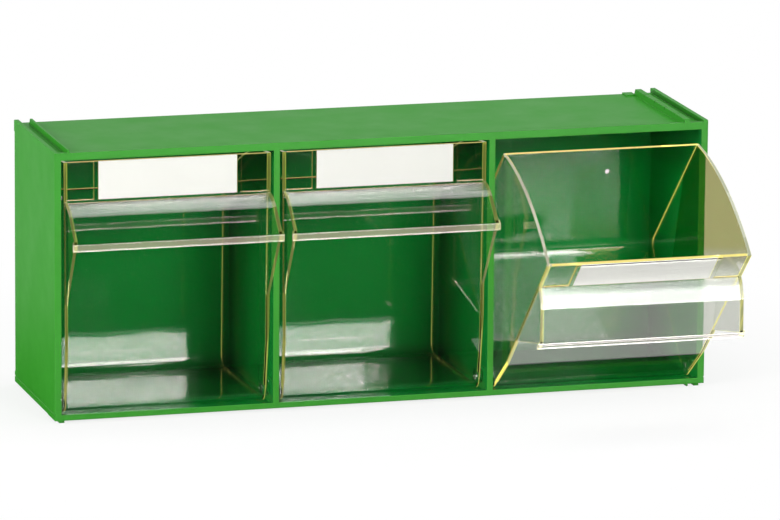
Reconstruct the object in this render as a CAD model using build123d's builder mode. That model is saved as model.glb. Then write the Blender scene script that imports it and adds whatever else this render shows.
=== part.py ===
from build123d import *
from math import acos, atan2, cos, hypot, radians, sin, tan
import os

# Tilt bin unit: one moulded housing with three compartments, and in each a clear bin
# that tips forward on two pins. All sizes are in millimetres. X runs to the right,
# Y to the back, Z up. The origin is the middle of the housing's underside.

# Housing
unit_width = 600.0
unit_height = 240.0
body_depth = 156.0
bin_count = 3
side_wall = 4.0
side_jamb = 6.0
partition_wall = 3.4
partition_jamb = 5.4
jamb_depth = 6.0
floor_thickness = 3.2
sill_height = 5.0
lintel_height = 6.7
roof_recess = 3.0
roof_lip = 4.0
rim_width = 4.0
right_rim_rise = 1.5
right_rim_corner = 1.4
back_wall = 2.5
outer_edge_radius = 0.8

# Rails on the roof, and the tongues under the floor that slide in beside them
left_rail_gap = 8.0
left_rail_width = 2.0
left_rail_height = 5.5
right_rail_gap = 12.5
right_rail_width = 5.5
right_rail_height = 6.0
rail_rear_gap = 8.0
rail_end_slope = 3.0
rail_notch_count = 4
rail_notch_width = 1.2
rail_notch_depth = 2.5
rail_stop_width = 9.0
rail_stop_depth = 12.0
rail_stop_height = 1.4
tongue_clearance = 0.4
tongue_drop = 2.4
tongue_width = 4.6
tongue_front_gap = 2.0
guide_rib_width = 1.6

# Shallow relief on the outer side faces
side_groove_height = 5.2
side_groove_width = 1.2
side_groove_depth = 0.5
rear_rebate_width = 2.0
rear_rebate_depth = 0.8
rear_rebate_end_gap = 10.0

# Wall screws, placed from the side faces and from the top
screw_side_gap = 45.0
screw_top_gap = 73.0
screw_hole_radius = 2.25

# Pivot
pivot_depth = 18.0
pivot_height = 15.0
pin_radius = 4.0
pin_clearance = 0.06
pin_engagement = 2.4
pin_chamfer = 0.6
socket_end_clearance = 0.6
pivot_boss_radius = 6.5
boss_side_clearance = 0.5
socket_pad_radius = 9.0
open_angle = 47.0

# Bin: its clearances in the compartment, its wall, and the shape of its side view
bin_front_recess = 1.2
bin_side_clearance = 2.7
bin_back_clearance = 1.0
bin_floor_clearance = 1.0
bin_rim_clearance = 2.0
bin_wall = 2.5
front_lean_height = 60.0
rim_fall = 57.3
rim_bulge = 12.5
rear_corner_radius = 12.0
side_corner_radius = 1.8
draft_back = 0.7
draft_down = 0.37

# Label pocket on the front of the bin, and its card
card_width = 125.0
card_height = 34.0
card_thickness = 0.4
card_clearance = 0.2
card_side_clearance = 0.5
pocket_cover = 0.8
pocket_rail = 3.5
pocket_ledge = 1.4

# Hood that the fingers pull, below the pocket, with a lip and a gusset at each end
handle_reach = 41.0
hood_root_gap = 0.4
hood_fall = 29.5
hood_thickness = 2.4
hood_bend_reach = 20.0
hood_bend_fall = 8.9
lip_height = 6.0
lip_thickness = 2.8
lip_overhang = 1.4
lip_edge_radius = 0.8
gusset_fall = 63.0

# Worked out from the values above: places across, then depths behind the front, and heights
opening_width = (unit_width - 2 * side_jamb - (bin_count - 1) * partition_jamb) / bin_count
column_pitch = opening_width + partition_jamb
columns = [column_pitch * (index - (bin_count - 1) / 2) for index in range(bin_count)]
partitions = [column_pitch * (index + 1 - bin_count / 2) for index in range(bin_count - 1)]
front_y = -body_depth / 2
rear_y = body_depth / 2
pivot_y = front_y + pivot_depth
roof_z = unit_height - roof_recess
ceiling_z = unit_height - lintel_height
bin_rear = body_depth - back_wall - bin_back_clearance
front_top = ceiling_z - bin_rim_clearance
rear_top = front_top - rim_fall
slot_bottom = front_top - card_height
hood_root = slot_bottom - pocket_ledge - hood_root_gap
lip_top = hood_root - hood_fall
gusset_foot = lip_top - gusset_fall
hood_slope = atan2(hood_fall - hood_bend_fall, handle_reach + bin_front_recess - hood_bend_reach)
lip_root = lip_top + lip_thickness * tan(hood_slope) - hood_thickness / cos(hood_slope)
nose_radius = pivot_height - floor_thickness - bin_floor_clearance
bin_half_width = opening_width / 2 - bin_side_clearance
front_face = Plane.XZ.offset(-front_y)
jamb_back = Plane.XZ.offset(-front_y - jamb_depth)


def side_point(depth, height):
    """A point of the side view, from its depth behind the front and its height."""
    return (front_y + depth, height)


# Housing: outer block, hollowed from the front behind a frame of jambs, sill and lintel
with BuildPart() as housing:
    with BuildSketch(Plane.XY):
        Rectangle(unit_width, body_depth)
    extrude(amount=unit_height)
    fillet(housing.edges().filter_by(Axis.Y), outer_edge_radius)

    with BuildSketch(front_face):
        with Locations([(x, (sill_height + ceiling_z) / 2) for x in columns]):
            Rectangle(opening_width, ceiling_z - sill_height)
    extrude(amount=-jamb_depth, mode=Mode.SUBTRACT)

    inner_width = unit_width - 2 * side_wall
    inner_depth = body_depth - jamb_depth - back_wall
    with BuildSketch(jamb_back):
        with Locations((0, (floor_thickness + ceiling_z) / 2)):
            Rectangle(inner_width, ceiling_z - floor_thickness)
        with Locations([(x, unit_height / 2) for x in partitions]):
            Rectangle(partition_wall, unit_height, mode=Mode.SUBTRACT)
    extrude(amount=-inner_depth, mode=Mode.SUBTRACT)

    # Roof panel, sunk behind the front lip and between the side rims, open to the back
    with BuildSketch(Plane.XY.offset(roof_z)):
        with Locations((0, roof_lip / 2)):
            Rectangle(unit_width - 2 * rim_width, body_depth - roof_lip)
    extrude(amount=roof_recess, mode=Mode.SUBTRACT)

    # The right rim stands a little higher, with its back corner rounded off
    with BuildSketch(Plane.YZ.offset(unit_width / 2 - rim_width)) as right_rim:
        with Locations((0, unit_height)):
            Rectangle(body_depth, 2 * right_rim_rise)
        fillet(right_rim.vertices().group_by(Axis.Y)[-1], right_rim_corner)
    extrude(amount=rim_width)

    # Rails that run front to back on the roof
    rail_rear = rear_y - rail_rear_gap
    left_rail_x = -unit_width / 2 + rim_width + left_rail_gap
    right_rail_x = unit_width / 2 - rim_width - right_rail_gap - right_rail_width
    for rail_x, rail_width, rail_height in (
        (left_rail_x, left_rail_width, left_rail_height),
        (right_rail_x, right_rail_width, right_rail_height),
    ):
        with BuildSketch(Plane.YZ.offset(rail_x)):
            with BuildLine():
                Polyline(
                    (front_y, roof_z),
                    (front_y, roof_z + rail_height - rail_end_slope / 2),
                    (front_y + rail_end_slope, roof_z + rail_height),
                    (rail_rear - rail_end_slope, roof_z + rail_height),
                    (rail_rear, roof_z),
                    close=True,
                )
            make_face()
        extrude(amount=rail_width)

    # Flex notches across the right rail
    notch_middle = (front_y + rail_rear) / 2
    rail_notch_pitch = (rail_rear - front_y) / (rail_notch_count + 1)
    with BuildSketch(Plane.XY.offset(roof_z + right_rail_height)):
        with Locations((right_rail_x + right_rail_width / 2, notch_middle)):
            with GridLocations(1, rail_notch_pitch, 1, rail_notch_count):
                Rectangle(right_rail_width, rail_notch_width)
    extrude(amount=-rail_notch_depth, mode=Mode.SUBTRACT)

    # Low stop at the back of the roof, beside the right rail
    with BuildSketch(Plane.XY.offset(roof_z)):
        with Locations((right_rail_x - rail_stop_width / 2, rear_y - rail_stop_depth / 2)):
            Rectangle(rail_stop_width, rail_stop_depth)
    extrude(amount=rail_stop_height)

    # Tongues under the floor, each against the rim side of the rail channel below it
    tongue_length = body_depth - tongue_front_gap
    tongue_x = unit_width / 2 - rim_width - tongue_clearance - tongue_width / 2
    guide_x = right_rail_x + right_rail_width + tongue_clearance + guide_rib_width / 2
    with BuildSketch(Plane.XY):
        with Locations((-tongue_x, tongue_front_gap / 2), (tongue_x, tongue_front_gap / 2)):
            Rectangle(tongue_width, tongue_length)
        with Locations((guide_x, tongue_front_gap / 2)):
            Rectangle(guide_rib_width, tongue_length)
    extrude(amount=-tongue_drop)

    # Socket pads where the bin pins turn
    for wall_x, pad_thickness in (
        [(-unit_width / 2, side_jamb), (unit_width / 2 - side_jamb, side_jamb)]
        + [(x - partition_jamb / 2, partition_jamb) for x in partitions]
    ):
        with BuildSketch(Plane.YZ.offset(wall_x)):
            with Locations((pivot_y, pivot_height)):
                Circle(socket_pad_radius)
            with Locations((pivot_y, pivot_height / 2)):
                Rectangle(2 * socket_pad_radius, pivot_height)
            with Locations((front_y + pivot_depth / 2, (pivot_height + socket_pad_radius) / 2)):
                Rectangle(pivot_depth, pivot_height + socket_pad_radius)
        extrude(amount=pad_thickness)

    # Pin sockets: through each partition, blind in the two side walls
    socket_depth = pin_engagement + socket_end_clearance
    socket_span = inner_width - 2 * (side_jamb - side_wall) + 2 * socket_depth
    with BuildSketch(Plane.YZ.offset(-socket_span / 2)):
        with Locations((pivot_y, pivot_height)):
            Circle(pin_radius + pin_clearance)
    extrude(amount=socket_span, mode=Mode.SUBTRACT)

    # Screw holes through the back wall
    screw_x = unit_width / 2 - screw_side_gap
    screw_z = unit_height - screw_top_gap
    with BuildSketch(Plane.XZ.offset(-rear_y)):
        with Locations((-screw_x, screw_z), (screw_x, screw_z)):
            Circle(screw_hole_radius)
    extrude(amount=back_wall, mode=Mode.SUBTRACT)

    # Groove low on each side face, and a rebate down its back edge
    for side in (-1, 1):
        with BuildSketch(Plane.YZ.offset(side * unit_width / 2)):
            with Locations((0, side_groove_height + side_groove_width / 2)):
                Rectangle(body_depth, side_groove_width)
        extrude(amount=-side * side_groove_depth, mode=Mode.SUBTRACT)
        with BuildSketch(Plane.YZ.offset(side * unit_width / 2)):
            with Locations((rear_y - rear_rebate_width / 2, unit_height / 2)):
                Rectangle(rear_rebate_width, unit_height - 2 * rear_rebate_end_gap)
        extrude(amount=-side * rear_rebate_depth, mode=Mode.SUBTRACT)


def bin_outline(inset, rim_rise):
    """Side outline of a bin, drawn inward by inset and with its rim raised by rim_rise."""
    front = bin_front_recess + inset
    rear = bin_rear - inset
    nose = nose_radius - inset
    corner = rear_corner_radius - inset
    floor = pivot_height - nose
    # The lower front leans back and meets the round nose without a corner
    lean_y = front - pivot_depth
    lean_z = front_lean_height - pivot_height
    touch_angle = atan2(lean_z, lean_y) + acos(nose / hypot(lean_y, lean_z))
    touch = (pivot_depth + nose * cos(touch_angle), pivot_height + nose * sin(touch_angle))
    bend_angle = (touch_angle + radians(270)) / 2
    bend = (pivot_depth + nose * cos(bend_angle), pivot_height + nose * sin(bend_angle))
    turn = corner * (1 - cos(radians(45)))
    rim_length = hypot(rear - front, front_top - rear_top)
    rim_middle = (
        (front + rear) / 2 + rim_bulge * (front_top - rear_top) / rim_length,
        (front_top + rear_top) / 2 + rim_bulge * (rear - front) / rim_length + rim_rise,
    )
    Line(side_point(front, front_top + rim_rise), side_point(front, front_lean_height))
    Line(side_point(front, front_lean_height), side_point(*touch))
    ThreePointArc(side_point(*touch), side_point(*bend), side_point(pivot_depth, floor))
    Line(side_point(pivot_depth, floor), side_point(rear - corner, floor))
    ThreePointArc(
        side_point(rear - corner, floor),
        side_point(rear - turn, floor + turn),
        side_point(rear, floor + corner),
    )
    Line(side_point(rear, floor + corner), side_point(rear, rear_top + rim_rise))
    ThreePointArc(
        side_point(rear, rear_top + rim_rise),
        side_point(*rim_middle),
        side_point(front, front_top + rim_rise),
    )


def hood_line(inset):
    """The hood's bend out from the front wall and its straight slope to the lip, moved in by inset."""
    start = (bin_front_recess, hood_root - inset)
    bend_end = (
        bin_front_recess - hood_bend_reach + inset * sin(hood_slope),
        hood_root - hood_bend_fall - inset * cos(hood_slope),
    )
    end_depth = -handle_reach + (lip_thickness if inset else 0)
    end = (end_depth, bend_end[1] - (bend_end[0] - end_depth) * tan(hood_slope))
    # The bend meets the slope without a corner
    reach = start[0] - bend_end[0]
    fall = start[1] - bend_end[1]
    bulge = tan((hood_slope - atan2(fall, reach)) / 2) / 2
    middle = (
        (start[0] + bend_end[0]) / 2 - bulge * fall,
        (start[1] + bend_end[1]) / 2 + bulge * reach,
    )
    ThreePointArc(side_point(*start), side_point(*middle), side_point(*bend_end))
    Line(side_point(*bend_end), side_point(*end))
    return side_point(*start), side_point(*end)


def side_taper(inset):
    """Wedge between a bin's two side faces, each moved in by inset."""
    near_y = front_y - handle_reach
    with BuildPart() as wedge:
        for height in (0, unit_height):
            flank = bin_half_width - inset - (front_top - height) * tan(radians(draft_down))
            near = flank + handle_reach * tan(radians(draft_back))
            far = flank - body_depth * tan(radians(draft_back))
            with BuildSketch(Plane.XY.offset(height)):
                Polygon((-near, near_y), (near, near_y), (far, rear_y), (-far, rear_y), align=None)
        loft()
    return wedge.part


outer_taper = side_taper(0)
inner_taper = side_taper(bin_wall)

# Cavity of the bin, and the finger space between hood, gussets and front wall
with BuildPart() as cavity:
    with BuildSketch(Plane.YZ):
        with BuildLine():
            bin_outline(bin_wall, 2 * rim_bulge)
        make_face()
    extrude(amount=bin_half_width, both=True)
    add(inner_taper, mode=Mode.INTERSECT)

with BuildPart() as finger_space:
    with BuildSketch(Plane.YZ):
        with BuildLine():
            wall_end, lip_end = hood_line(hood_thickness)
            Polyline(
                lip_end,
                side_point(-handle_reach + lip_thickness, gusset_foot),
                side_point(bin_front_recess, gusset_foot - lip_height),
                wall_end,
            )
        make_face()
    extrude(amount=bin_half_width, both=True)
    add(inner_taper, mode=Mode.INTERSECT)

# Bin: one clear moulding with its hood, gussets, label pocket, pivot bosses and pins
with BuildPart() as tilt_bin:
    with BuildSketch(Plane.YZ):
        with BuildLine():
            bin_outline(0, 0)
        make_face()
        with BuildLine():
            root_end, lip_end = hood_line(0)
            Polyline(
                lip_end,
                side_point(-handle_reach, lip_root),
                side_point(-handle_reach + lip_thickness, lip_root),
                side_point(bin_front_recess, gusset_foot),
                root_end,
            )
        make_face()
    extrude(amount=bin_half_width + bin_side_clearance, both=True)
    add(outer_taper, mode=Mode.INTERSECT)

    # Rounded corners up the back and along the floor, so that the bin slides in past the jambs
    side_corners = [
        edge
        for edge in tilt_bin.edges()
        if edge.center().Y > pivot_y and edge.center().Z < gusset_foot and abs(edge.center().X) > 1
    ]
    fillet(side_corners, side_corner_radius)
    add(cavity.part, mode=Mode.SUBTRACT)
    add(finger_space.part, mode=Mode.SUBTRACT)

    # Lip along the hood's edge, a little wider than the hood
    with BuildSketch(Plane.YZ):
        with BuildLine():
            Polyline(
                side_point(-handle_reach, lip_top),
                side_point(-handle_reach, lip_top - lip_height),
                side_point(-handle_reach + lip_thickness, lip_top - lip_height),
                side_point(-handle_reach + lip_thickness, lip_top + lip_thickness * tan(hood_slope)),
                close=True,
            )
        make_face()
    extrude(amount=bin_half_width + lip_overhang, both=True)
    fillet(
        tilt_bin.edges().filter_by(Axis.X).group_by(Axis.Y)[0],
        lip_edge_radius,
    )

    # Label pocket, open at the top, on a ledge that runs right across above the hood
    slot_width = card_width + 2 * card_side_clearance
    slot_depth = card_thickness + 2 * card_clearance
    pocket_face = Plane.XZ.offset(-front_y - bin_front_recess)
    with BuildSketch(pocket_face):
        with Locations((0, (front_top + slot_bottom - pocket_ledge) / 2)):
            Rectangle(slot_width + 2 * pocket_rail, card_height + pocket_ledge)
        with Locations((0, (slot_bottom + hood_root - hood_thickness / 2) / 2)):
            Rectangle(2 * (bin_half_width - bin_wall), slot_bottom - hood_root + hood_thickness / 2)
    extrude(amount=slot_depth + pocket_cover)
    with BuildSketch(pocket_face):
        with Locations((0, (front_top + slot_bottom) / 2)):
            Rectangle(slot_width, card_height)
    extrude(amount=slot_depth, mode=Mode.SUBTRACT)

    # Pivot bosses and pins, one on each side
    boss_reach = opening_width / 2 - boss_side_clearance
    pin_reach = opening_width / 2 + pin_engagement
    for side in (-1, 1):
        side_wall_plane = Plane.YZ.offset(side * (bin_half_width - bin_wall))
        with BuildSketch(side_wall_plane):
            with Locations((pivot_y, pivot_height)):
                Circle(pivot_boss_radius)
        extrude(amount=side * (boss_reach - bin_half_width + bin_wall))
        with BuildSketch(side_wall_plane):
            with Locations((pivot_y, pivot_height)):
                Circle(pin_radius)
        extrude(amount=side * (pin_reach - bin_half_width + bin_wall))
        pin_end = tilt_bin.faces().sort_by(Axis.X)[-1 if side > 0 else 0]
        chamfer(pin_end.edges(), pin_chamfer)

# Label card, standing on the floor of the pocket
with BuildPart() as label_card:
    card_face = Plane.XZ.offset(-front_y - bin_front_recess + card_clearance)
    with BuildSketch(card_face):
        with Locations((0, (front_top + slot_bottom) / 2)):
            Rectangle(card_width, card_height)
    extrude(amount=card_thickness)

os.makedirs("parts", exist_ok=True)
housing.part.label = "housing"
export_step(housing.part, "parts/housing.step")

# The right bin rests tipped open, the other two closed
for name, column, tilt in zip(("left", "centre", "right"), columns, (0, 0, open_angle)):
    seat = Pos(column, pivot_y, pivot_height) * Rot(tilt, 0, 0) * Pos(0, -pivot_y, -pivot_height)
    for kind, piece in (("bin", tilt_bin.part), ("label_card", label_card.part)):
        with BuildPart() as placed:
            with Locations(seat):
                add(piece)
        placed.part.label = f"{kind}_{name}"
        export_step(placed.part, f"parts/{placed.part.label}.step")
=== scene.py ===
import math

import bpy
from mathutils import Matrix, Vector

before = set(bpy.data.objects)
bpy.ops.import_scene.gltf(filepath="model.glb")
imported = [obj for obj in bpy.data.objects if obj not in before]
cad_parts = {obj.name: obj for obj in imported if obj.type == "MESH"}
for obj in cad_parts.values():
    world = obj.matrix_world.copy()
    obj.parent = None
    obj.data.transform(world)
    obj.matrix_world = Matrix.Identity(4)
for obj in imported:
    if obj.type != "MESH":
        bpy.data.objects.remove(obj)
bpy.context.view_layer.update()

# The housing is one injection moulding in green polypropylene: a shell with two partitions, a back wall,
# stacking rails on its roof and tongues under its ends. The mould was spark-eroded outside, so its skin
# has a fine satin grain, and the edges rub bright where units are stacked and slid.

number, vector, colour = "NodeSocketFloat", "NodeSocketVector", "NodeSocketColor"


def wire(tree, kind, settings=(), **plugs):
    # a node with its settings; a plug is an input's name, or _ and its place in the row
    node = tree.nodes.new(kind)
    for name, value in settings:
        setattr(node, name, value)
    for name, value in plugs.items():
        socket = node.inputs[int(name[1:]) if name[1:].isdigit() else name.replace("_", " ")]
        if isinstance(value, bpy.types.NodeSocket):
            tree.links.new(value, socket)
        else:
            socket.default_value = value
    return node


def reckon(tree, kind, first, second=0.0, third=0.0, clamp=False):
    settings = (("operation", kind), ("use_clamp", clamp))
    return wire(tree, "ShaderNodeMath", settings, _0=first, _1=second, _2=third).outputs[0]


def spread(tree, value, low, high, least=0.0, most=1.0, soft=False):
    settings = (("interpolation_type", "SMOOTHSTEP" if soft else "LINEAR"),)
    return wire(tree, "ShaderNodeMapRange", settings, Value=value, From_Min=low, From_Max=high,
        To_Min=least, To_Max=most).outputs[0]


def between_colours(tree, share, first, second):
    return wire(tree, "ShaderNodeMix", (("data_type", "RGBA"),), _0=share, _6=first, _7=second).outputs[2]


def between_numbers(tree, share, first, second):
    return wire(tree, "ShaderNodeMix", (("data_type", "FLOAT"),), _0=share, _2=first, _3=second).outputs[0]


def clouds(tree, point, often, **plugs):
    return wire(tree, "ShaderNodeTexNoise", Vector=point, Scale=often, **plugs).outputs["Fac"]


def effect(name, takes, gives):
    tree = bpy.data.node_groups.new(name, "ShaderNodeTree")
    for label, kind, value in takes:
        socket = tree.interface.new_socket(name=label, in_out="INPUT", socket_type=kind)
        if value is not None:
            socket.default_value = value
    for label, kind in gives:
        tree.interface.new_socket(name=label, in_out="OUTPUT", socket_type=kind)
    return tree, tree.nodes.new("NodeGroupInput").outputs, tree.nodes.new("NodeGroupOutput").inputs


def place(tree, group, **plugs):
    return wire(tree, "ShaderNodeGroup", (("node_tree", group),), **plugs).outputs


def spark_grain():
    # the fine skin that the mould's eroded steel leaves, on slow waves
    tree, take, give = effect("Spark Grain",
        (("Point", vector, None), ("Grain Size", number, 0.0006), ("Sink", number, 0.3)),
        (("Height", number), ("Gloss Change", number)))
    grains_per_wave = 50
    often = reckon(tree, "DIVIDE", 1.0, take["Grain Size"])
    fine = clouds(tree, take["Point"], often, Detail=2.0, Roughness=0.6)
    seldom = reckon(tree, "MULTIPLY", often, 1 / grains_per_wave)
    waves = clouds(tree, take["Point"], seldom, Detail=3.0, Roughness=0.5)
    tree.links.new(reckon(tree, "MULTIPLY_ADD", waves, take["Sink"], fine), give["Height"])
    tree.links.new(waves, give["Gloss Change"])
    return tree


def rubbed_edges():
    # how far a spot is rounded off by handling: 1 on a sharp edge, 0 on a flat
    tree, take, give = effect("Rubbed Edges",
        (("Point", vector, None), ("Reach", number, 0.0008), ("Patchy", number, 0.5)),
        (("Wear", number), ("Soft Normal", vector)))
    flat, sharp = 0.995, 0.8
    patches_per_metre = 90.0
    soft = wire(tree, "ShaderNodeBevel", (("samples", 6),), Radius=take["Reach"]).outputs[0]
    true = wire(tree, "ShaderNodeNewGeometry").outputs["Normal"]
    near = wire(tree, "ShaderNodeVectorMath", (("operation", "DOT_PRODUCT"),), _0=soft, _1=true)
    turn = spread(tree, near.outputs["Value"], flat, sharp)
    spots = clouds(tree, take["Point"], patches_per_metre, Detail=4.0, Roughness=0.65)
    kept = between_numbers(tree, take["Patchy"], 1.0, spread(tree, spots, 0.35, 0.65))
    tree.links.new(reckon(tree, "MULTIPLY", turn, kept, clamp=True), give["Wear"])
    tree.links.new(soft, give["Soft Normal"])
    return tree


def flow_colour():
    # slow cloudy drift of the colour, where the melt met and cooled
    tree, take, give = effect("Flow Colour",
        (("Point", vector, None), ("Main", colour, None), ("Other", colour, None),
         ("Cloud Size", number, 0.08)),
        (("Colour", colour),))
    stretch_upward = (1.0, 1.0, 0.35)
    often = reckon(tree, "DIVIDE", 1.0, take["Cloud Size"])
    stretched = wire(tree, "ShaderNodeVectorMath", (("operation", "MULTIPLY"),), _0=take["Point"],
        _1=stretch_upward).outputs[0]
    cloud = clouds(tree, stretched, often, Detail=3.0, Roughness=0.55, Distortion=0.4)
    share = spread(tree, cloud, 0.3, 0.7)
    tree.links.new(between_colours(tree, share, take["Main"], take["Other"]), give["Colour"])
    return tree


def scuffs():
    # hair-thin rubs from stacking, boxes and hands
    tree, take, give = effect("Scuffs",
        (("Point", vector, None), ("How Many", number, 0.5)), (("Rub", number),))
    draw_out = (1.0, 0.04, 0.6)
    rubs = []
    for turn, often in ((0.4, 60.0), (1.3, 85.0), (2.2, 48.0)):
        turned = wire(tree, "ShaderNodeVectorRotate", (("rotation_type", "EULER_XYZ"),), Vector=take["Point"],
            Rotation=(turn, 0.7 * turn, 1.6 * turn)).outputs[0]
        drawn = wire(tree, "ShaderNodeVectorMath", (("operation", "MULTIPLY"),), _0=turned,
            _1=draw_out).outputs[0]
        streak = clouds(tree, drawn, often * 12, Detail=1.0)
        patch = clouds(tree, take["Point"], often * 0.35, Detail=1.0)
        line, where = spread(tree, streak, 0.68, 0.76), spread(tree, patch, 0.5, 0.62)
        rubs.append(reckon(tree, "MULTIPLY", line, where))
    most = reckon(tree, "MAXIMUM", reckon(tree, "MAXIMUM", rubs[0], rubs[1]), rubs[2])
    tree.links.new(reckon(tree, "MULTIPLY", most, take["How Many"], clamp=True), give["Rub"])
    return tree


def shell_inside_and_shade():
    # Inside is 1 on the polished core side of the shell and 0 on its grained outer side, and the second
    # output says how far painted shade darkens the green there: up behind the lintel, along the floor and on
    # the upright walls toward the mouth, where the walls look into each other and shade each other
    tree, take, give = effect("Shell Inside And Shade",
        (("Point", vector, None),), (("Inside", number), ("Painted Shade", number)))
    end_skin, front_skin, back_skin, floor_skin, roof_skin = 0.298, -0.0777, 0.0768, 0.0016, 0.235
    # each from one place to another, with the least and the most of it
    lintel = (0.165, 0.205, 0.0, 0.55)
    floor = (0.022, 0.004, 0.0, 0.45)
    mouth = (0.0, -0.060, 0.10, 0.55)
    partition_x, partition_reach, end_wall_x = 0.0989, 0.006, 0.290
    at = wire(tree, "ShaderNodeSeparateXYZ", _0=take["Point"]).outputs
    off = reckon(tree, "ABSOLUTE", at["X"])
    share = reckon(tree, "LESS_THAN", off, end_skin)
    for value, kind, limit in ((at["Y"], "GREATER_THAN", front_skin), (at["Y"], "LESS_THAN", back_skin),
            (at["Z"], "GREATER_THAN", floor_skin), (at["Z"], "LESS_THAN", roof_skin)):
        share = reckon(tree, "MULTIPLY", share, reckon(tree, kind, value, limit))
    tree.links.new(share, give["Inside"])
    from_partition = reckon(tree, "ABSOLUTE", reckon(tree, "SUBTRACT", off, partition_x))
    upright = reckon(tree, "MAXIMUM", reckon(tree, "LESS_THAN", from_partition, partition_reach),
        reckon(tree, "GREATER_THAN", off, end_wall_x))
    sides = reckon(tree, "MULTIPLY", upright, spread(tree, at["Y"], *mouth, soft=True))
    ends = reckon(tree, "MAXIMUM", spread(tree, at["Z"], *lintel, soft=True),
        spread(tree, at["Z"], *floor, soft=True))
    tree.links.new(reckon(tree, "MAXIMUM", ends, sides), give["Painted Shade"])
    return tree


grain, edges, flow, rubs, core_side_and_shade = spark_grain(), rubbed_edges(), flow_colour(), scuffs(), shell_inside_and_shade()


def new_finish(name):
    finish = bpy.data.materials.new(name)
    finish.use_nodes = True
    tree = finish.node_tree
    tree.nodes.clear()
    return finish, tree, tree.nodes.new("ShaderNodeTexCoord").outputs["Object"]


def green_moulding():
    outer_green, outer_drift = (0.026, 0.262, 0.013, 1), (0.032, 0.275, 0.018, 1)
    core_green, core_drift = (0.001, 0.350, 0.040, 1), (0.004, 0.395, 0.054, 1)
    painted_shade_green = (0.010, 0.050, 0.012, 1)
    worn_green, scuffed_green = (0.11, 0.40, 0.08, 1), (0.09, 0.37, 0.07, 1)
    worn_share, scuffed_share, scuffed_matt = 0.45, 0.35, 0.15
    core_polish, core_grain = 0.13, 0.12
    finish, tree, point = new_finish("green_moulding")
    body = wire(tree, "ShaderNodeBsdfPrincipled", IOR=1.49, Specular_IOR_Level=0.25)
    core_and_shade = place(tree, core_side_and_shade, Point=point)
    outer = place(tree, flow, Point=point, Main=outer_green, Other=outer_drift, Cloud_Size=0.09)["Colour"]
    inner = place(tree, flow, Point=point, Main=core_green, Other=core_drift, Cloud_Size=0.12)["Colour"]
    # painted shade: the inner green darkens up behind the lintel, along the floor and toward the mouth
    shaded_inner = between_colours(tree, core_and_shade["Painted Shade"], inner, painted_shade_green)
    cloud = between_colours(tree, core_and_shade["Inside"], outer, shaded_inner)
    worn = place(tree, edges, Point=point, Reach=0.0007, Patchy=0.55)
    rub = place(tree, rubs, Point=point, How_Many=0.35)["Rub"]
    skin = place(tree, grain, Point=point, Grain_Size=0.0007, Sink=0.6)
    light = between_colours(tree, reckon(tree, "MULTIPLY", worn["Wear"], worn_share), cloud, worn_green)
    rubbed = between_colours(tree, reckon(tree, "MULTIPLY", rub, scuffed_share), light, scuffed_green)
    tree.links.new(rubbed, body.inputs["Base Color"])
    satin = spread(tree, skin["Gloss Change"], 0.3, 0.7, 0.33, 0.42)
    polish = between_numbers(tree, core_and_shade["Inside"], satin, core_polish)
    tree.links.new(reckon(tree, "MULTIPLY_ADD", rub, scuffed_matt, polish), body.inputs["Roughness"])
    depth = between_numbers(tree, core_and_shade["Inside"], 1.0, core_grain)
    height = reckon(tree, "MULTIPLY", skin["Height"], depth)
    pits = wire(tree, "ShaderNodeBump", Height=height, Normal=worn["Soft Normal"], Strength=0.18,
        Distance=0.00008)
    tree.links.new(pits.outputs[0], body.inputs["Normal"])
    wire(tree, "ShaderNodeOutputMaterial", Surface=body.outputs[0])
    return finish


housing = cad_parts["housing"]
housing.data.materials.clear()
housing.data.materials.append(green_moulding())

# Each bin is one clear moulding in polystyrene with a polished skin. It is faintly yellow, which hardly
# shows through a wall; the yellow glow along every edge, where light runs along a wall, is painted in.
# A pull hood, a lip, gussets and a label pocket are moulded on, and two pins snap into the housing.

pin_axis = (0, -0.06, 0.015)


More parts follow.
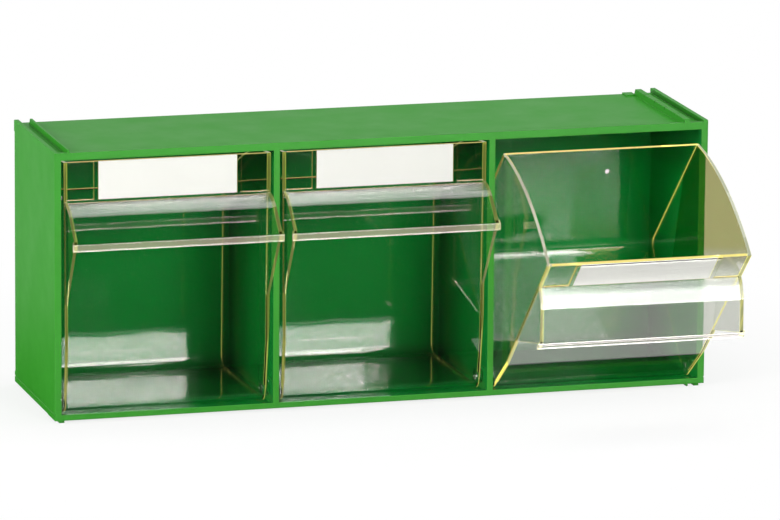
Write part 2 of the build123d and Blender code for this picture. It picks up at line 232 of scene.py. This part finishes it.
def painted_glow_and_finish_masks():
    # masks for the edges of the walls, where a glow is painted in as emission and tint for light that runs
    # along the plastic, and for the hazy hood root and the bowed walls
    tree, take, give = effect("Painted Glow And Finish Masks",
        (("Point", vector, None), ("Facing", vector, None), ("Column", number, 0.0), ("Tilt", number, 0.0)),
        [(part, number) for part in ("Rim", "Side Rim", "Gusset", "Front Strip", "Lip", "Lip Edge", "Corner",
            "Far Wall", "Hood Root", "Bow")])
    front_y, lip_back_y, root_front_y, root_back_y = -0.0775, -0.1163, -0.0925, -0.0788
    rim_z, lip_top_z, root_top_z = 0.1735, 0.1663, 0.1965
    far_wall_x, side_rim_x, column_end_x, gusset_x = 0.0885, 0.0895, 0.0903, 0.0905
    boss_reach, waves_per_metre = 0.0105, 15.0
    tan_behind, tan_upward = 0.85, 0.52
    # how far a normal points up, forward or sideways before a spot counts as turned that way
    turned_up, turned_forward, least_turn, wall_turn, square_on = 0.3, -0.5, 0.2, 0.9, 0.97

    def calc(kind, first, second=0.0):
        return reckon(tree, kind, first, second)

    def all_of(*masks):
        share = masks[0]
        for mask in masks[1:]:
            share = calc("MULTIPLY", share, mask)
        return share

    def more(value, limit):
        return calc("GREATER_THAN", value, limit)

    def less(value, limit):
        return calc("LESS_THAN", value, limit)

    def absent(mask):
        return calc("SUBTRACT", 1.0, mask)

    upright = wire(tree, "ShaderNodeVectorRotate", (("rotation_type", "X_AXIS"),), Vector=take["Point"],
        Center=pin_axis, Angle=take["Tilt"]).outputs[0]
    facing = wire(tree, "ShaderNodeVectorRotate", (("rotation_type", "X_AXIS"),), Vector=take["Facing"],
        Angle=take["Tilt"]).outputs[0]
    at = wire(tree, "ShaderNodeSeparateXYZ", _0=upright).outputs
    to = wire(tree, "ShaderNodeSeparateXYZ", _0=facing).outputs
    across = calc("SUBTRACT", at["X"], take["Column"])
    side = calc("ABSOLUTE", across)
    sideways, upward = calc("ABSOLUTE", to["X"]), calc("ABSOLUTE", to["Z"])
    up, forward = more(to["Z"], turned_up), less(to["Y"], turned_forward)
    behind_front, behind_lip = more(at["Y"], front_y), more(at["Y"], lip_back_y)

    rim = all_of(up, behind_front, more(at["Z"], rim_z))
    lip = all_of(absent(behind_lip), less(at["Z"], lip_top_z))
    # the round bosses of the pins are clear of painted glow
    in_section = wire(tree, "ShaderNodeCombineXYZ", _1=at["Y"], _2=at["Z"]).outputs[0]
    from_pin = wire(tree, "ShaderNodeVectorMath", (("operation", "DISTANCE"),), _0=in_section, _1=pin_axis)
    off_boss = all_of(more(from_pin.outputs["Value"], boss_reach), behind_front)
    # the rounded corners up the back and along the floor show by a normal that is square to no wall, and get
    # painted highlight lines
    steep = all_of(more(sideways, least_turn), less(sideways, square_on))
    # a tan is painted on the far wall for light that has run down its length, most at its upper back
    length = calc("ADD", calc("MULTIPLY", calc("SUBTRACT", at["Y"], pin_axis[1]), tan_behind),
        calc("MULTIPLY", calc("SUBTRACT", at["Z"], pin_axis[2]), tan_upward))
    # the long walls bowed in slow waves as they cooled, and the hood and the front stayed flat
    waves = clouds(tree, upright, waves_per_metre, Detail=1.0, Roughness=0.4)

    for part, mask in (
            ("Rim", rim),
            ("Side Rim", all_of(rim, more(side, side_rim_x))),
            ("Gusset", all_of(less(sideways, wall_turn), more(side, gusset_x), absent(behind_front),
                behind_lip)),
            ("Front Strip", all_of(forward, more(side, column_end_x), off_boss)),
            ("Lip", lip),
            ("Lip Edge", all_of(lip, more(upward, least_turn), less(upward, square_on))),
            ("Corner", all_of(steep, off_boss, absent(up))),
            ("Far Wall", all_of(more(across, far_wall_x),
                spread(tree, length, 0.070, 0.108, 0.25, 1.0, soft=True))),
            # the thick root of the hood sank a little as it cooled and is hazy
            ("Hood Root", all_of(less(at["Y"], root_back_y), more(at["Y"], root_front_y), up,
                less(at["Z"], root_top_z))),
            ("Bow", all_of(waves, spread(tree, at["Y"], -0.074, -0.050, soft=True)))):
        tree.links.new(mask, give[part])
    return tree


painted_glow_and_finish = painted_glow_and_finish_masks()
# edge tints: the plastic's faint yellow together with the painted glow's colour on each edge
painted_edge_tints = {"Rim": (0.90, 0.80, 0.38, 1), "Side Rim": (0.92, 0.92, 0.82, 1),
    "Gusset": (0.80, 0.76, 0.38, 1), "Front Strip": (0.62, 0.62, 0.24, 1), "Lip": (0.96, 0.92, 0.90, 1),
    "Lip Edge": (0.98, 0.96, 0.94, 1), "Corner": (0.75, 0.72, 0.35, 1)}


def clear_moulding(name, column, tilt, far_wall_painted_tint, haze, lights):
    clear, clear_drift, no_glow = (0.975, 0.98, 0.955, 1), (0.985, 0.985, 0.965, 1), (0, 0, 0, 1)
    edge_on_from, edge_on_to, scuffed_matt = 0.50, 0.66, 0.12
    finish, tree, point = new_finish(name)
    glass = wire(tree, "ShaderNodeBsdfPrincipled", IOR=1.52, Transmission_Weight=1.0, Emission_Strength=1.0)
    turned = place(tree, edges, Point=point, Reach=0.0010, Patchy=0.0)["Soft Normal"]
    to_rest = (("vector_type", "NORMAL"), ("convert_from", "WORLD"), ("convert_to", "OBJECT"))
    facing = wire(tree, "ShaderNodeVectorTransform", to_rest, _0=turned).outputs[0]
    glow = place(tree, painted_glow_and_finish, Point=point, Facing=facing, Column=column, Tilt=tilt)
    cloud = place(tree, flow, Point=point, Main=clear, Other=clear_drift, Cloud_Size=0.05)["Colour"]
    rub = place(tree, rubs, Point=point, How_Many=0.5)["Rub"]
    skin = place(tree, grain, Point=point, Grain_Size=0.004, Sink=1.0)["Gloss Change"]
    slant = wire(tree, "ShaderNodeLayerWeight", Blend=0.5).outputs["Facing"]
    # painted tan shading on the far wall, where it is seen edge on
    painted_tan_share = reckon(tree, "MULTIPLY", spread(tree, slant, edge_on_from, edge_on_to), glow["Far Wall"])
    tone, shine = between_colours(tree, painted_tan_share, cloud, far_wall_painted_tint), no_glow
    # painted glow: each edge mask tints the colour and adds emission where light gathered in the plastic
    # would show
    for where, tint in painted_edge_tints.items():
        tone = between_colours(tree, glow[where], tone, tint)
        shine = between_colours(tree, glow[where], shine, lights[where] + (1,))
    tree.links.new(tone, glass.inputs["Base Color"])
    tree.links.new(shine, glass.inputs["Emission Color"])
    polish = spread(tree, skin, 0.3, 0.7, 0.010, 0.035)
    duller = reckon(tree, "MULTIPLY_ADD", rub, scuffed_matt, polish)
    hazy = reckon(tree, "MULTIPLY_ADD", glow["Hood Root"], haze, duller)
    tree.links.new(hazy, glass.inputs["Roughness"])
    bowed = wire(tree, "ShaderNodeBump", Height=glow["Bow"], Strength=1.0, Distance=0.0005)
    tree.links.new(bowed.outputs[0], glass.inputs["Normal"])
    ray = wire(tree, "ShaderNodeLightPath").outputs
    lamp = reckon(tree, "MAXIMUM", ray["Is Shadow Ray"], ray["Is Diffuse Ray"])
    let_by = wire(tree, "ShaderNodeBsdfTransparent", Color=(0.97, 0.97, 0.95, 1))
    passing = wire(tree, "ShaderNodeMixShader", _0=lamp, _1=glass.outputs[0], _2=let_by.outputs[0])
    wire(tree, "ShaderNodeOutputMaterial", Surface=passing.outputs[0])
    return finish


# the painted glow of each edge, given as emission: faint on a closed bin, strong on the tipped one, which
# catches more light
closed_painted_glow = {"Rim": (0.72, 0.62, 0.20), "Side Rim": (0.38, 0.41, 0.29), "Gusset": (0.14, 0.175, 0.045),
    "Front Strip": (0.135, 0.165, 0.03), "Lip": (0.27, 0.21, 0.17), "Lip Edge": (0.33, 0.29, 0.25),
    "Corner": (0.30, 0.32, 0.07)}
tipped_painted_glow = {"Rim": (0.95, 0.82, 0.26), "Side Rim": (0.46, 0.49, 0.35), "Gusset": (0.36, 0.37, 0.17),
    "Front Strip": (0.40, 0.40, 0.15), "Lip": (0.07, 0.06, 0.05), "Lip Edge": (0.60, 0.57, 0.53),
    "Corner": (0.95, 0.88, 0.16)}
column_pitch, tipped = 0.1978, math.radians(-47)
# the far wall's painted tan: pale on a closed bin, deep on the tipped one
painted_pale_wall, painted_tan_wall = (0.85, 0.86, 0.62, 1), (0.29, 0.24, 0.05, 1)
for place_name, column, tilt, far_wall_painted_tint, haze, lights in (
        ("left", -column_pitch, 0.0, painted_pale_wall, 0.18, closed_painted_glow),
        ("centre", 0.0, 0.0, painted_pale_wall, 0.18, closed_painted_glow),
        ("right", column_pitch, tipped, painted_tan_wall, 0.12, tipped_painted_glow)):
    tilt_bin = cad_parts["bin_" + place_name]
    tilt_bin.data.materials.clear()
    tilt_bin.data.materials.append(
        clear_moulding("clear_moulding_" + place_name, column, tilt, far_wall_painted_tint, haze, lights))

# Each label is a strip of plain white card, cut to slide down into the pocket on the front of its bin.
# It carries no print.


def white_card():
    finish, tree, point = new_finish("label_card")
    card = wire(tree, "ShaderNodeBsdfPrincipled", Roughness=0.75, Specular_IOR_Level=0.3)
    cloud = place(tree, flow, Point=point, Main=(0.88, 0.88, 0.88, 1), Other=(0.895, 0.895, 0.895, 1),
        Cloud_Size=0.03)["Colour"]
    tree.links.new(cloud, card.inputs["Base Color"])
    fibre = place(tree, grain, Point=point, Grain_Size=0.0005, Sink=0.4)["Height"]
    felt = wire(tree, "ShaderNodeBump", Height=fibre, Strength=0.2, Distance=0.00005)
    tree.links.new(felt.outputs[0], card.inputs["Normal"])
    wire(tree, "ShaderNodeOutputMaterial", Surface=card.outputs[0])
    return finish


card_stock = white_card()
for place_name in ("left", "centre", "right"):
    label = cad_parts["label_card_" + place_name]
    label.data.materials.clear()
    label.data.materials.append(card_stock)

# The table is a smooth white board that runs out past the view and carries the housing's soft shadow.
# In mirrored looks it is dark before the unit, as a studio floor is, and paler behind it.


def board(name, corners, height):
    mesh = bpy.data.meshes.new(name)
    mesh.from_pydata([(x, y, height) for x, y in corners], [], [(0, 1, 2, 3)])
    sheet = bpy.data.objects.new(name, mesh)
    bpy.context.scene.collection.objects.link(sheet)
    return sheet


def straight_look(tree):
    # 1 for a look that reaches the camera straight or straight through clear walls
    look = wire(tree, "ShaderNodeLightPath").outputs
    direct = reckon(tree, "MAXIMUM", look["Is Camera Ray"], look["Is Transmission Ray"])
    return reckon(tree, "MULTIPLY", direct, reckon(tree, "LESS_THAN", look["Glossy Depth"], 0.5))


def mirrored_look(tree):
    # 1 for a look that has been mirrored on its way
    look = wire(tree, "ShaderNodeLightPath").outputs
    return reckon(tree, "GREATER_THAN", look["Glossy Depth"], 0.5)


def white_paint():
    white = (1, 1, 1, 1)
    shadow_from, shadow_to = 0.30, 0.60
    dark_from, dark_to = 0.10, 0.60
    finish, tree, point = new_finish("table_white")
    paint = wire(tree, "ShaderNodeBsdfPrincipled", Roughness=0.9, Specular_IOR_Level=0.1)
    tone = place(tree, flow, Point=point, Main=(0.92, 0.92, 0.92, 1), Other=(0.94, 0.94, 0.94, 1),
        Cloud_Size=0.6)["Colour"]
    tree.links.new(tone, paint.inputs["Base Color"])
    plain = wire(tree, "ShaderNodeEmission", Color=white, Strength=1.0)
    away = wire(tree, "ShaderNodeVectorMath", (("operation", "LENGTH"),), _0=point).outputs["Value"]
    fade = spread(tree, away, shadow_from, shadow_to, 0.80, 1.0, soft=True)
    share = reckon(tree, "MULTIPLY", fade, straight_look(tree))
    seen = wire(tree, "ShaderNodeMixShader", _0=share, _1=paint.outputs[0], _2=plain.outputs[0])
    place_on_table = wire(tree, "ShaderNodeSeparateXYZ", _0=point).outputs
    behind = spread(tree, place_on_table["Y"], dark_from, dark_to, 0.02, 0.35, soft=True)
    dim = wire(tree, "ShaderNodeEmission", Color=white, Strength=behind)
    both = wire(tree, "ShaderNodeMixShader", _0=mirrored_look(tree), _1=seen.outputs[0], _2=dim.outputs[0])
    wire(tree, "ShaderNodeOutputMaterial", Surface=both.outputs[0])
    return finish


table = board("table", ((-9, -9), (9, -9), (9, 9), (-9, 9)), -0.0025)
table.data.materials.append(white_paint())

# White cards stand and lie about the unit, as a photographer sets them, and show only in mirrored looks.
# One lies close before the open bin and brightens its clear front from below, three are far in front on
# the right, and one hangs above.


def reflector(name, corners, glare):
    mesh = bpy.data.meshes.new(name)
    mesh.from_pydata(corners, [], [(0, 1, 2, 3)])
    card = bpy.data.objects.new(name, mesh)
    bpy.context.scene.collection.objects.link(card)
    bright, tree, point = new_finish(name + "_white")
    shine = wire(tree, "ShaderNodeEmission", Color=(1.0, 0.99, 0.97, 1), Strength=glare)
    clear = wire(tree, "ShaderNodeBsdfTransparent")
    both = wire(tree, "ShaderNodeMixShader", _0=mirrored_look(tree), _1=clear.outputs[0], _2=shine.outputs[0])
    wire(tree, "ShaderNodeOutputMaterial", Surface=both.outputs[0])
    card.data.materials.append(bright)
    card.visible_camera = card.visible_diffuse = card.visible_shadow = False


def lying(left, right, front, back, height):
    return (left, front, height), (right, front, height), (right, back, height), (left, back, height)


def standing(left, right, low, high, distance):
    return (left, distance, low), (right, distance, low), (right, distance, high), (left, distance, high)


on_table = -0.0024
reflector("card_before_bin", lying(0.115, 0.45, -0.176, -0.089, on_table), glare=1.2)
reflector("card_on_table", lying(0.1, 1.6, -3.0, -1.3, on_table), glare=13.0)
reflector("tall_card", standing(0.93, 1.45, 0.95, 5.5, -3.05), glare=9.0)
reflector("front_card", standing(0.98, 1.42, -0.005, 0.945, -2.98), glare=9.0)
reflector("card_above", lying(-0.25, 0.95, -0.32, 0.52, 1.88), glare=2.8)

# The studio is a dim room with a soft light high in front on the right, one above and one on the left.
# A second front light, low on the right, is only mirrored: the bins' polished walls show it in white
# bands. The backdrop is white wherever the camera sees it or sees it through the bins.


def soft_light(name, at, to, wide, high, glare):
    lamp = bpy.data.lights.new(name, "AREA")
    lamp.shape, lamp.size, lamp.size_y = "RECTANGLE", wide, high
    lamp.energy = glare * math.pi * wide * high
    holder = bpy.data.objects.new(name, lamp)
    bpy.context.scene.collection.objects.link(holder)
    holder.location = at
    holder.rotation_euler = (Vector(to) - Vector(at)).to_track_quat("-Z", "Y").to_euler()
    return holder


unit_middle = (0, 0, 0.12)
front = soft_light("light_front", (0.70, -3.0, 1.45), unit_middle, wide=0.95, high=0.95, glare=12.0)
front.visible_glossy = False
sheen = soft_light("light_front_sheen", (0.7375, -3.0, 0.47), (0.7375, 0, 0.47),
    wide=0.835, high=0.95, glare=16.0)
sheen.visible_diffuse = False
overhead = soft_light("light_above", (0.35, 0.10, 1.9), (0.35, 0.1, 0), wide=1.2, high=0.84, glare=4.9)
overhead.visible_glossy = False
soft_light("light_left", (-2.4, -0.9, 0.9), unit_middle, wide=1.3, high=1.3, glare=11.0)

world = bpy.data.worlds.new("studio")
bpy.context.scene.world = world
world.use_nodes = True
room = world.node_tree
room.nodes.clear()
way = wire(room, "ShaderNodeTexCoord").outputs["Generated"]
back_and_forth = wire(room, "ShaderNodeSeparateXYZ", _0=way).outputs["Y"]
rear = spread(room, back_and_forth, -0.1, 0.7, 0.02, 0.50, soft=True)
dim = wire(room, "ShaderNodeBackground", Color=(0.36, 0.36, 0.36, 1), Strength=1.0)
dark = wire(room, "ShaderNodeBackground", Color=(1, 1, 1, 1), Strength=rear)
white = wire(room, "ShaderNodeBackground", Color=(1, 1, 1, 1), Strength=1.0)
around = wire(room, "ShaderNodeMixShader", _0=mirrored_look(room), _1=dim.outputs[0], _2=dark.outputs[0])
backdrop = wire(room, "ShaderNodeMixShader", _0=straight_look(room), _1=around.outputs[0],
    _2=white.outputs[0])
wire(room, "ShaderNodeOutputWorld", Surface=backdrop.outputs[0])

# The camera stands well back on the left of the unit and above it, and looks down on it through a long
# lens, as the photograph was taken.

lens = bpy.data.cameras.new("camera")
lens.sensor_width = 36
lens.lens = 335.64
camera = bpy.data.objects.new("camera", lens)
bpy.context.scene.collection.objects.link(camera)
stand = (-1.73133, -6.12817, 1.51142)
bearing, drop, roll = math.radians(16.0137), math.radians(12.3870), math.radians(0.4440)
ahead = Vector((math.sin(bearing) * math.cos(drop), math.cos(bearing) * math.cos(drop), -math.sin(drop)))
level = Vector((math.cos(bearing), -math.sin(bearing), 0))
above = level.cross(ahead)
right = level * math.cos(roll) + above * math.sin(roll)
top = above * math.cos(roll) - level * math.sin(roll)
camera.matrix_world = Matrix.Translation(stand) @ Matrix((right, top, -ahead)).transposed().to_4x4()
bpy.context.scene.camera = camera
bpy.context.scene.view_settings.view_transform = "Standard"
